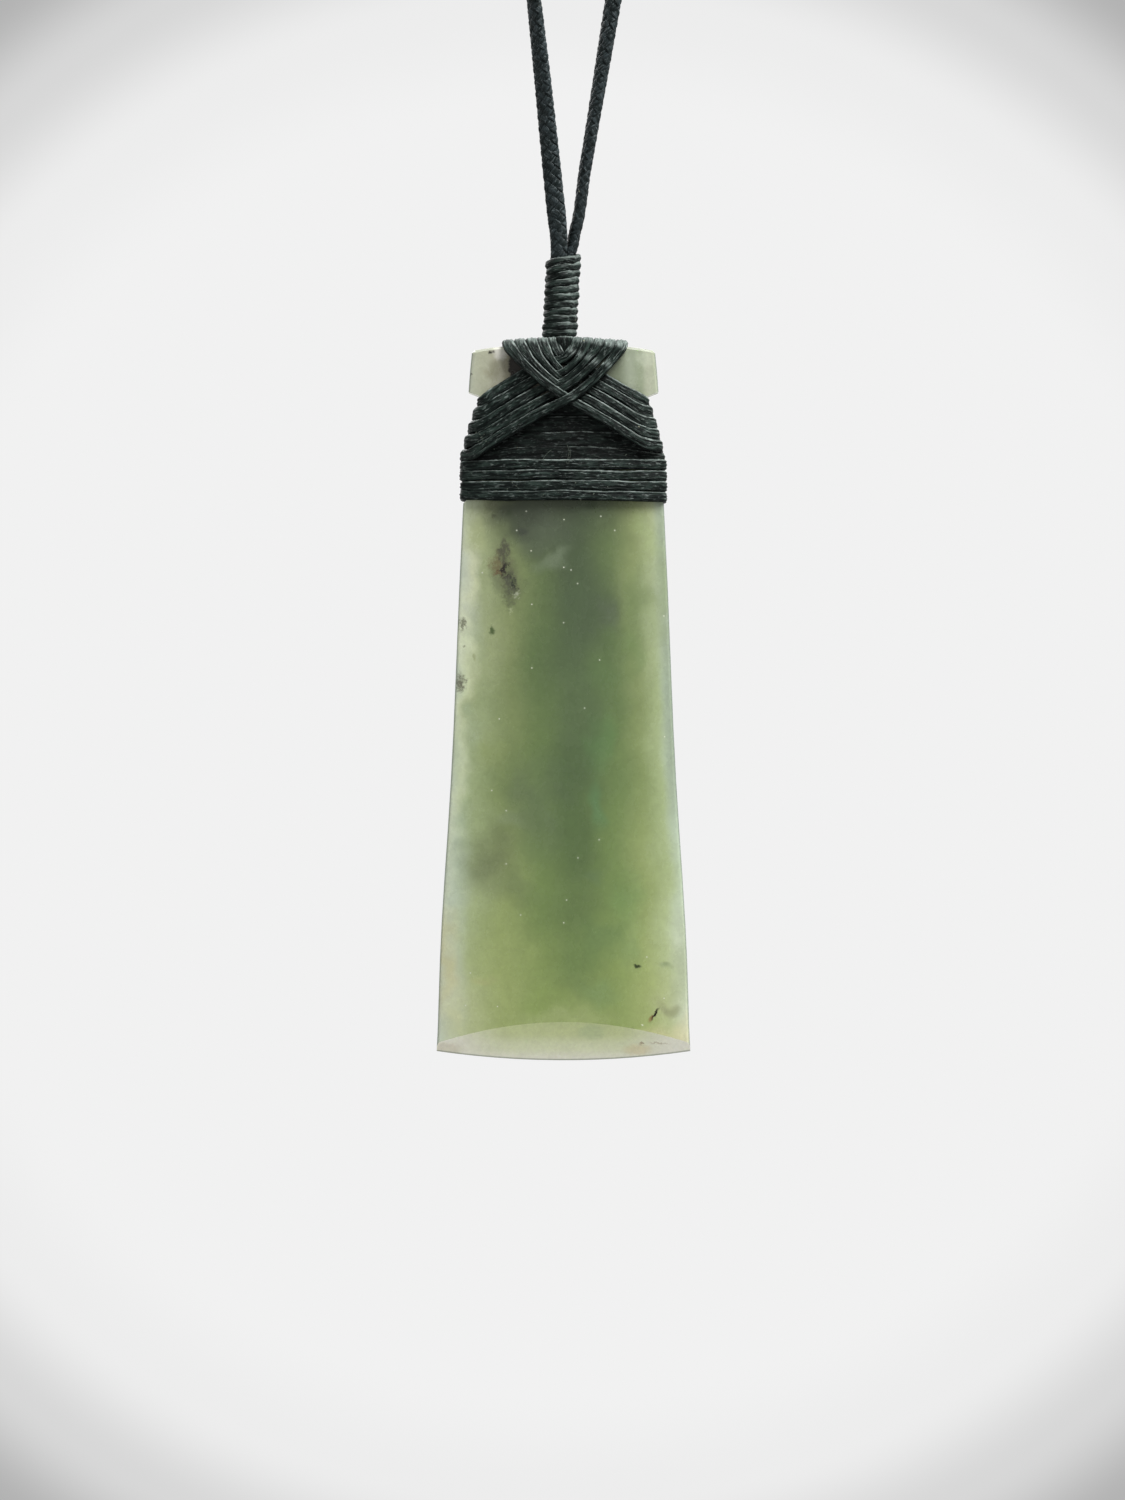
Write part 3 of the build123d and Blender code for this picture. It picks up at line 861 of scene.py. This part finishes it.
# Clouds in the stone: place across and depth, reach across and down (mm), turn (degrees), strength,
# red, green, blue
jade_clouds = [
    (-3.4, 16.2, 6.6, 3.6, 0, 0.88, 62, 68, 54), (-2.8, 18.6, 5.6, 4.4, 0, 0.75, 80, 89, 73),
    (-0.9, 21.6, 3.6, 1.3, -27, 0.6, 112, 124, 101), (3.4, 26.5, 4.2, 5.6, 15, 0.6, 74, 87, 65),
    (4.4, 27, 1.4, 2.2, 0, 0.4, 88, 96, 82), (6.6, 30.5, 1.6, 3.8, -10, 0.45, 96, 121, 73),
    (4.3, 33, 2.6, 3, 20, 0.35, 92, 116, 74), (3.8, 39.5, 2, 4.6, 10, 0.45, 92, 124, 78),
    (3.3, 45.8, 1.2, 3.6, 0, 0.5, 92, 128, 88), (-4.6, 44.6, 2.2, 2.6, 25, 0.42, 98, 112, 80),
    (-7.4, 51.6, 4.2, 5.2, 12, 0.72, 106, 116, 82), (-6, 42, 3.4, 4.4, 0, 0.45, 106, 122, 80),
    (-5, 48, 2.4, 1.6, 0, 0.4, 128, 140, 112), (2.8, 53.6, 1.4, 1.1, 20, 0.4, 96, 116, 84),
    (6.4, 55.6, 2.4, 4, 15, 0.35, 112, 142, 88), (4, 59.6, 3.4, 2.4, 20, 0.4, 104, 128, 84),
    (-7.2, 30.5, 3, 6, 10, 0.3, 150, 158, 114), (-7.6, 40.5, 2.6, 3.2, 0, 0.45, 142, 154, 96),
    (-6.4, 60.5, 4.6, 6.6, 10, 0.45, 156, 170, 108), (-8, 63.5, 1.6, 0.9, 0, 0.4, 176, 176, 124),
    (-2.4, 65.8, 3.4, 2.6, 0, 0.35, 140, 160, 92), (3.4, 64.6, 3.4, 2.4, -15, 0.35, 120, 146, 98),
    (11.8, 69.4, 2, 3.2, 25, 0.6, 206, 198, 160), (9.6, 69.3, 2.8, 1.6, 8, 0.6, 198, 191, 148),
    (11.9, 61.5, 1.8, 7.5, 3, 0.55, 158, 168, 138), (7.2, 60, 2.2, 3.6, 0, 0.4, 124, 148, 98),
    (-9.3, 35.5, 1.3, 9.5, 3, 0.5, 148, 158, 112), (-12, 61.5, 1.8, 9, 3, 0.6, 196, 191, 142),
    (-10.2, 34, 1.8, 30, 3, 0.42, 226, 231, 190), (-11, 67, 1.3, 3, 3, 0.45, 200, 202, 156),
    (0, 67.4, 7, 1.5, 0, 0.55, 160, 172, 118), (10.3, 66.5, 1.6, 1, 20, 0.7, 134, 140, 108),
    (10.3, 62.4, 0.8, 0.6, 15, 0.6, 124, 138, 104), (-9.9, 21.5, 1.1, 6, 3, 0.45, 184, 192, 176),
    (-8.6, 18.6, 1.5, 3.2, -10, 0.4, 168, 176, 128), (8.2, 19.5, 1.7, 4, 0, 0.35, 140, 158, 104),
    (9.7, 25, 2.6, 10.5, 2, 0.62, 138, 152, 114), (-11, 39, 1.3, 6, 2, 0.5, 156, 170, 142),
    (-9.2, 22.5, 1.2, 4, 3, 0.5, 196, 200, 166), (-2.6, 46.5, 3.8, 7.5, 0, 0.5, 92, 106, 80),
    (-5.4, 24, 1.6, 4, -10, 0.45, 82, 90, 68), (7.4, 26.6, 2, 7, 0, 0.62, 104, 121, 80),
    (4.6, 30.5, 2, 4.5, 0, 0.4, 86, 104, 68), (-4.3, 17.4, 2.6, 3, 0, 0.55, 56, 62, 50),
    (-8.9, 41.5, 1.6, 2.6, 0, 0.5, 146, 160, 112), (-4.6, 54, 2, 3, 0, 0.5, 104, 118, 80),
    (4.8, 59, 2.2, 2.6, 0, 0.5, 102, 124, 76), (9.8, 66.2, 2, 1.4, 15, 0.5, 146, 150, 112),
]

# The dark inclusion on the front: the same columns
jade_inclusion = [
    (-5.7, 22.8, 1.45, 4, -16, 0.5, 98, 98, 76), (-6.6, 22.2, 1.1, 1.1, 0, 0.7, 108, 98, 68),
    (-5.95, 20.9, 0.7, 2.1, 4, 0.8, 72, 71, 60), (-6.3, 22.9, 0.75, 0.35, 0, 0.6, 96, 66, 48),
    (-5.95, 22.6, 0.4, 1, 20, 0.95, 34, 30, 28), (-5.25, 24, 0.95, 1.7, -10, 0.8, 74, 76, 64),
    (-5, 23.9, 0.3, 1.2, -20, 0.9, 40, 42, 38), (-5.55, 25.6, 0.6, 1.3, 0, 0.6, 84, 90, 66),
    (-4.7, 25.1, 0.4, 0.32, 0, 0.75, 170, 176, 152), (-5.2, 26.8, 0.24, 0.5, 10, 0.6, 170, 178, 142),
    (-6.6, 20.9, 0.3, 0.4, 0, 0.6, 92, 84, 66), (-5.6, 23.1, 0.3, 0.5, -30, 0.8, 52, 46, 42),
    (-5.05, 25.9, 0.35, 0.3, 0, 0.55, 86, 88, 70), (-10.1, 28, 0.5, 0.9, 0, 0.8, 98, 98, 80),
    (-10.3, 33.9, 0.7, 1.3, 0, 0.85, 94, 92, 76),
]

# Marks on the front, one of them a spot of painted light: the same columns
jade_marks = [
    (-7.15, 28.6, 0.32, 0.62, -10, 0.9, 66, 84, 46), (-8.9, 31.3, 0.25, 0.5, 0, 0.45, 126, 132, 88),
    (-9.9, 30.2, 0.14, 0.22, 0, 0.6, 110, 112, 86), (-7, 17.2, 0.4, 0.3, 20, 0.7, 72, 76, 56),
    (-5.4, 16.9, 0.45, 0.45, 0, 0.65, 58, 66, 48), (-7.2, 16.2, 0.9, 0.7, 0, 0.5, 88, 92, 70),
    (-1.7, 16.1, 0.3, 0.5, 0, 0.6, 62, 72, 48), (2.7, 16.2, 0.8, 0.55, 10, 0.7, 54, 66, 44),
    (-1.5, 15.9, 5.2, 0.8, 0, 0.5, 66, 74, 56), (7.35, 62.1, 0.44, 0.19, 12, 0.95, 38, 50, 22),
    (9.1, 66.95, 0.23, 0.95, 32, 1, 22, 14, 6), (8.7, 67.35, 0.22, 0.5, 35, 0.6, 122, 84, 48),
    (7.85, 68, 0.18, 0.1, 0, 0.85, 232, 232, 200), (7.9, 69.85, 0.42, 0.16, -20, 0.75, 146, 126, 98),
    (9.6, 69.85, 1.3, 0.09, 3, 0.55, 176, 160, 128), (7.4, 70.5, 1.9, 0.8, 0, 0.4, 222, 200, 146),
    (2.8, 68.7, 1.9, 1.1, 0, 0.35, 170, 192, 150), (-11.6, 70.4, 2.2, 0.9, 0, 0.5, 214, 208, 182),
    (8.1, 1.5, 1.3, 1.1, 0, 0.35, 192, 198, 178), (-5.6, 2.2, 0.8, 1.6, 0, 0.45, 122, 118, 98),
    (-7.2, 0.9, 0.42, 0.26, 0, 0.95, 36, 34, 28), (-9.25, 3.1, 0.14, 0.24, 0, 0.8, 70, 64, 52),
    (-9.2, 5.1, 0.12, 0.12, 0, 0.7, 88, 80, 66), (-7.6, 3, 0.9, 0.5, 40, 0.35, 150, 146, 122),
    # The first spot below is painted light on the left lug, lightening the shadow of the outermost crossing
    # thread
    (-6.3, 0.9, 0.9, 1.1, 0, 0.8, 214, 213, 204), (-6.9, 2.7, 0.8, 1.4, 0, 0.5, 126, 126, 102),
    (-4.1, 18.8, 0.8, 0.5, 0, 0.5, 56, 60, 54),
]

# The dark stain on the left lug: the same columns
lug_stain = (-4.25, 1.9, 1.32, 2.3, 8, 0.98, 30, 26, 21)

# How far the cutting edge rises towards its corners, in mm over the square of the place across
edge_rise = 0.95 / 12.65 ** 2

# Grains in the polish: place across and depth (mm)
jade_grains = [
    (-3.71, 16.8), (3.72, 17.3), (0.75, 22.65), (0.01, 27.9), (-4.66, 18.7), (5.1, 18.7), (1.4, 24),
    (-5.71, 46.6), (-5.71, 51.9), (1.44, 51.3), (3.55, 49.5), (-4.27, 57), (-9.28, 62.8), (-7.15, 44.6),
    (7.88, 68), (8.3, 61.2), (-8.1, 22.9), (2.1, 36.4),
]
grain_spot = (0.11, 0.11, 0, 0.7, 214, 218, 200)  # the other columns of a grain


def jade_body(mat, place, x, depth):
    """The stone's colour: dark where it is thick, paler towards its edges, partly its own tone and partly
    painted light through the thin edges; painted shade along the upper right edge.
    """
    drift = mat.noise(place, 0.13, 3, 0.5, "Color")
    sway, lower, _ = mat.node("SeparateColor", drift).outputs
    half = mat.math("ADD", mat.times(depth, 0.0475), 9.25)
    edge = mat.math("DIVIDE", x, half)
    lean = mat.times(mat.math("SUBTRACT", 1, mat.times(edge, edge)), 0.14)
    sway = mat.times(mat.math("SUBTRACT", sway, 0.5), 0.34)
    across = mat.math("ADD", mat.math("SUBTRACT", edge, lean), sway)
    lower = mat.times(mat.math("SUBTRACT", lower, 0.5), 0.12)
    down = mat.math("ADD", mat.math("DIVIDE", depth, 72), lower)
    out = mat.math("ABSOLUTE", across)
    tone = mat.tones(down, jade_middle)
    for start, full, stops in jade_zones:
        tone = mat.mix(mat.share(out, start, full), tone, mat.tones(down, stops))
    # Painted light along the thin left edge, and painted shade along the upper right edge
    tone = mat.tint(tone, mat.share(edge, -0.9, -1, 0, 0.75), 184, 194, 176)
    right_edge_painted_shade = mat.times(mat.share(edge, 0.86, 0.96, 0, 0.85), mat.share(depth, 54, 40))
    return mat.tint(tone, right_edge_painted_shade, 142, 154, 134)


def jade_ends(mat, tone, x, depth, up):
    """The lugs, which are greyer, the faces that turn up, with painted shade, and the bevel, made paler with
    painted light.
    """
    out = mat.math("ABSOLUTE", x)
    lugs = [mat.tones(mat.times(out, 0.1), stops) for stops in (left_lug, right_lug)]
    lug = mat.mix(mat.math("GREATER_THAN", x, 0), *lugs)
    tone = mat.mix(mat.share(depth, 6.6, 4.6), tone, lug)
    # Painted shade on the faces that turn up
    tone = mat.tint(tone, mat.share(up, 0.2, 0.6, 0, 0.7), 160, 164, 150)
    # The bevel, paler with painted light, most of all towards its corners
    bevel = mat.tones(mat.times(mat.math("SUBTRACT", depth, bevel_top), 1 / bevel_reach), bevel_tint_and_painted_light)
    bevel = mat.tint(bevel, mat.share(out, 5, 12, 0, 0.9), 255, 253, 238)
    return mat.mix(mat.share(up, -0.16, -0.26), tone, bevel)


def jade_marked(mat, tone, flat, place):
    """The inclusion, broken up by fine noise, and the marks, one of them a spot of painted light, the stain
    and the grains.
    """
    speckle = mat.share(mat.noise(place, 3.4, 3, 0.75), 0.38, 0.52, 0.55, 1)
    included = mat.patches(tone, mat.blown(flat, place, 2.4, 4, 0.7, 1.9), jade_inclusion)
    tone = mat.mix(speckle, tone, included)
    sharp = mat.blown(flat, place, 1.7, 4, 0.7, 0.8)
    tone = mat.patches(tone, sharp, jade_marks)
    tone = mat.patches(tone, sharp, [lug_stain], 0.8)
    return mat.patches(tone, flat, [(*place, *grain_spot) for place in jade_grains])


def jade_material():
    """Polished green stone, clouded, with dark inclusions and a crack."""
    mat = Shader("jade", Roughness=0.26, Specular_IOR_Level=0.5, Subsurface_Weight=0.12,
                 Subsurface_Radius=(0.9, 1, 0.7), Subsurface_Scale=mm)
    place = mat.scaled(mat.node("TexCoord").outputs["Object"], 1 / mm)
    x, y, z = mat.node("SeparateXYZ", place).outputs
    side, _, up = mat.node("SeparateXYZ", mat.node("TexCoord").outputs["Normal"]).outputs
    depth = mat.math("SUBTRACT", crown_z / mm, z)
    flat = mat.node("CombineXYZ", x, depth, 0).outputs[0]
    tone = jade_body(mat, place, x, depth)
    tone = mat.patches(tone, mat.blown(flat, place, 0.35, 1.2, 0.5, 4), jade_clouds, 0.1)
    tone = jade_ends(mat, tone, x, depth, up)
    tone = mat.mix(mat.share(y, 0.4, -0.4), tone, jade_marked(mat, tone, flat, place))

    # Mottling, pale specks, and painted dark reflections along the cutting edge and on the side faces
    grain = mat.noise(place, 2.6, 3, 0.7)
    cloud = mat.noise(place, 0.6, 3, 0.6)
    mottle = mat.times(mat.share(grain, 0.28, 0.72, 0.95, 1.05), mat.share(cloud, 0.3, 0.7, 0.97, 1.03))
    tone = mat.scaled(tone, mottle)
    tone = mat.tint(tone, mat.specks(flat, 0.3, 0.026, 0.1), 206, 210, 190)
    bottom = mat.math("MULTIPLY_ADD", mat.times(x, x), -edge_rise, (crown_z - stone_low.z) / mm)
    # Painted dark reflection along the cutting edge
    edge_painted_reflection = mat.share(mat.math("SUBTRACT", bottom, depth), 0.2, 0.06, 0, 0.65)
    tone = mat.tint(tone, edge_painted_reflection, 112, 122, 108)
    # Painted dark reflection on the side faces
    side_painted_reflection = mat.share(mat.math("ABSOLUTE", side), 0.55, 0.92, 0, 0.7)
    tone = mat.tint(tone, side_painted_reflection, 118, 130, 118)
    scuffs = mat.noise(mat.mapped(place, (0, 0, 0), 20, (0.8, 0.6, 0.6)), 1, 4, 0.6)
    mat.set(Base_Color=tone, Roughness=mat.share(scuffs, 0.35, 0.7, 0.2, 0.34))
    mat.bump(mat.math("ADD", mat.times(cloud, 0.7), mat.times(grain, 0.06)), 0.05 * mm, 0.4)
    return mat.material


def light(name, place, size, power):
    data = bpy.data.lights.new(name, "AREA")
    data.shape = "RECTANGLE"
    data.size, data.size_y = size
    data.energy = power
    made = added(name, data)
    made.location = place
    made.rotation_euler = (light_target - Vector(place)).to_track_quat("-Z", "Y").to_euler()
    made.visible_camera = False


def grey(level):
    return (level, level, level, 1)


def backdrop_paper():
    """Bright behind the pendant and darker behind the camera, with corners that fall off."""
    mat = Shader("pale_paper")
    ray = mat.vector("SUBTRACT", mat.node("TexCoord").outputs["Object"], camera_place)
    x, y, z = mat.node("SeparateXYZ", ray).outputs
    right, up = mat.math("DIVIDE", x, y), mat.math("DIVIDE", z, y)
    reach = mat.math("SQRT", mat.math("ADD", mat.math("POWER", right, 2), mat.math("POWER", up, 2)))
    corner = mat.math("DIVIDE", reach, 0.625 * picture_height / camera_distance)
    ahead = mat.share(y, 0, 0.5)
    fall = mat.ramp(corner, [
        (0.68, grey(paper_shade)), (0.8, grey(0.845)), (0.9, grey(0.68)), (1, grey(0.45)),
    ])
    behind = mat.share(y, -1.2, 1, front_shade, paper_shade)
    level = mat.mix(ahead, grey(front_shade), fall)
    level = mat.mix(mat.share(y, -0.4, 1.6), behind, level)
    mat.feed(mat.output.inputs["Surface"], mat.node("Emission", level).outputs[0])
    return mat.material


def studio():
    """A pale floor that sweeps up into a round wall, and soft lights."""
    floor_z, flat_radius, sweep, wall_top = -0.62, 1.5, 1.3, 3.0
    steps, around = 16, 96
    profile = [(0, floor_z), (flat_radius, floor_z)]
    for step in range(1, steps + 1):
        angle = pi / 2 * step / steps
        profile.append((flat_radius + sweep * sin(angle), floor_z + sweep * (1 - cos(angle))))
    profile.append((flat_radius + sweep, wall_top))
    vertices = [(r * cos(2 * pi * k / around), r * sin(2 * pi * k / around), z)
                for r, z in profile for k in range(around)]
    faces = []
    for row in range(len(profile) - 1):
        for k in range(around):
            low, low_next = row * around + k, row * around + (k + 1) % around
            faces.append((low, low_next, low_next + around, low + around))
    mesh = bpy.data.meshes.new("studio_sweep")
    mesh.from_pydata(vertices, [], faces)
    mesh.shade_smooth()
    mesh.materials.append(backdrop_paper())
    added("studio_sweep", mesh)

    light("key_above", (0.26, -0.22, 0.2), (0.3, 0.3), 6.9)
    light("fill_left", (-0.75, -0.5, -0.25), (0.5, 0.7), 1.3)
    light("fill_right", (0.75, -0.55, -0.25), (0.5, 0.7), 0.2)
    light("fill_below", (0, -0.6, -0.85), (0.6, 0.4), 2.6)
    light("key_back", (-0.25, 0.42, 0.1), (0.4, 0.4), 3)
    world = bpy.data.worlds.new("studio_world")
    world.use_nodes = True
    background = world.node_tree.nodes["Background"]
    background.inputs["Color"].default_value = grey(1)
    background.inputs["Strength"].default_value = 0.6
    bpy.context.scene.world = world
    bpy.context.scene.view_settings.view_transform = "Standard"


def camera():
    """A long lens at the height of the pendant's middle, square to its front."""
    data = bpy.data.cameras.new("camera")
    data.lens, data.sensor_width = lens, sensor
    made = added("camera", data)
    made.location = camera_place
    made.rotation_euler = (pi / 2, 0, 0)
    bpy.context.scene.camera = made


thread = thread_material("waxed_thread", (9, 17, 15), (43, 55, 50), (160, 173, 167), 0.76, 0.44, 0.06, 1.0)
cord = thread_material("plaited_cord", (24, 31, 31), (46, 54, 56), (128, 138, 140), 0.26, 0.46, 0.04, 0.55)
jade = jade_material()
for stone_slot in stone.material_slots:
    stone_slot.material = jade
crossing_threads(thread, level_turns(thread))
whipping(thread)
nape_binding(cord)
plait("neck_cord_left_plait", route_line("left_line", cord_points(-1, left_route)),
      radians(-10), flat_turn_rate, cord, "neck_cord_left")
plait("neck_cord_right_plait", route_line("right_line", cord_points(1, right_route)),
      radians(115), -flat_turn_rate, cord, "neck_cord_right")
studio()
camera()
